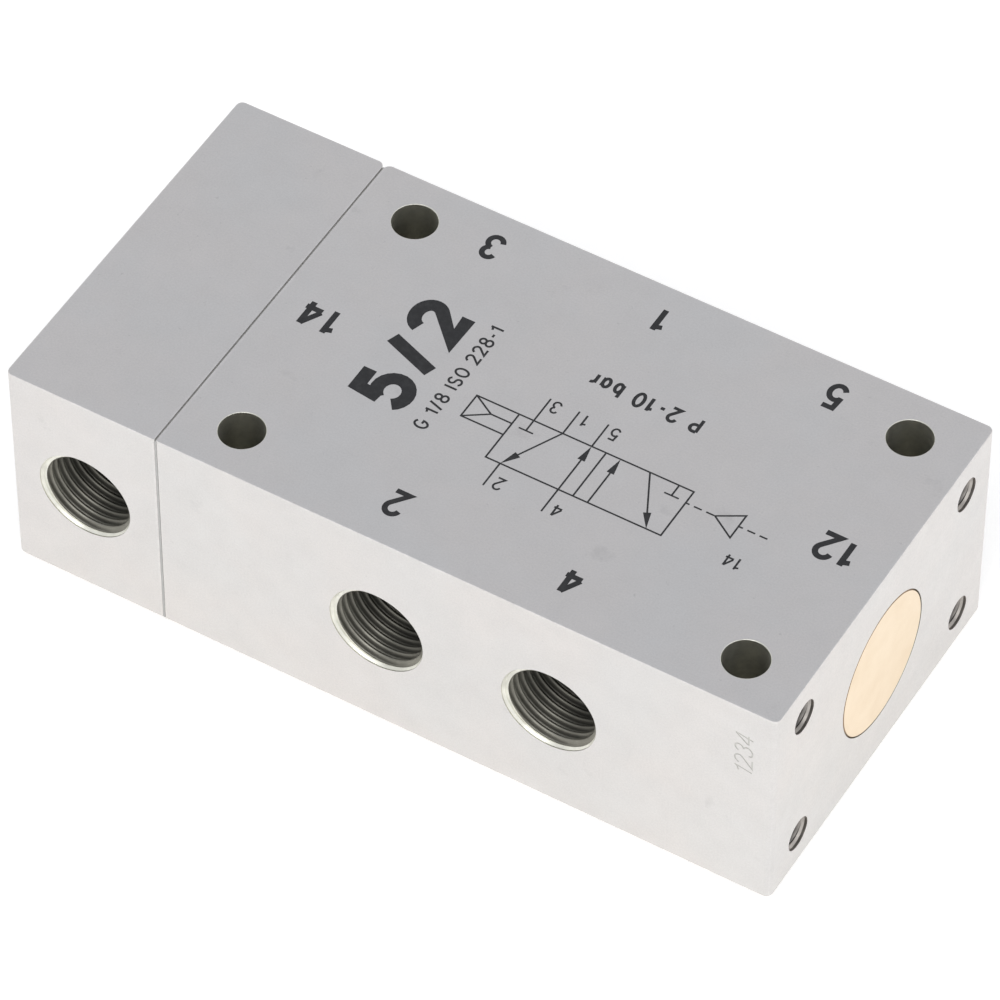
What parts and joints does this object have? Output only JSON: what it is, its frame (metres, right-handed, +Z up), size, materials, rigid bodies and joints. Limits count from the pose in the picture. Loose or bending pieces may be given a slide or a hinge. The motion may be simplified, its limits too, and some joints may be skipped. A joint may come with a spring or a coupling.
{
  "type": "air-piloted directional valve",
  "caption": "Inline 5/2-way pneumatic spool valve block with G1/8 side ports, a bolted-on air pilot cover, a brass end plug and through holes for mounting screws.",
  "frame": {"origin": "middle of the base, halfway along the whole valve", "axes": "+X along the valve from the pilot cover to the brass plug, +Y towards the face with ports 3, 1 and 5, +Z up out of the printed face"},
  "size_m": [0.0802, 0.04, 0.025],
  "materials": {
    "body_aluminium": "satin, fine anodised",
    "turned_brass": "fine turned, bright",
    "screw_steel": "zinc plated",
    "spool_aluminium": "ground and hard anodised",
    "seal_rubber": "smooth nitrile rubber",
    "gasket_sheet": "matt sheet",
    "cage_plastic": "moulded acetal",
    "piston_plastic": "moulded acetal"
  },
  "bodies": {
    "housing": {"valve_body": "body_aluminium", "pilot_cover": "body_aluminium", "cover_gasket": "gasket_sheet", "cover_screws": "screw_steel", "guide_bush": "turned_brass", "end_plug": "turned_brass", "end_plug_ring": "seal_rubber", "cage_port_3": "cage_plastic", "cage_port_2": "cage_plastic", "cage_port_1": "cage_plastic", "cage_port_4": "cage_plastic", "cage_port_5": "cage_plastic", "spool_seal_1": "seal_rubber", "spool_seal_2": "seal_rubber", "spool_seal_3": "seal_rubber", "spool_seal_4": "seal_rubber", "spool_seal_5": "seal_rubber", "spool_seal_6": "seal_rubber"},
    "spool": {"spool": "spool_aluminium"},
    "pilot_piston": {"pilot_piston": "piston_plastic", "pilot_piston_seal": "seal_rubber"}
  },
  "joints": [
    {"name": "spool_slide", "type": "slide", "parent": "housing", "child": "spool", "axis": [1, 0, 0], "range_m": [0, 0.0045]},
    {"name": "piston_slide", "type": "slide", "parent": "housing", "child": "pilot_piston", "axis": [1, 0, 0], "range_m": [0, 0.0045]}
  ],
  "couplings": [
    {"joint": "piston_slide", "follows": "spool_slide", "ratio": 1}
  ]
}
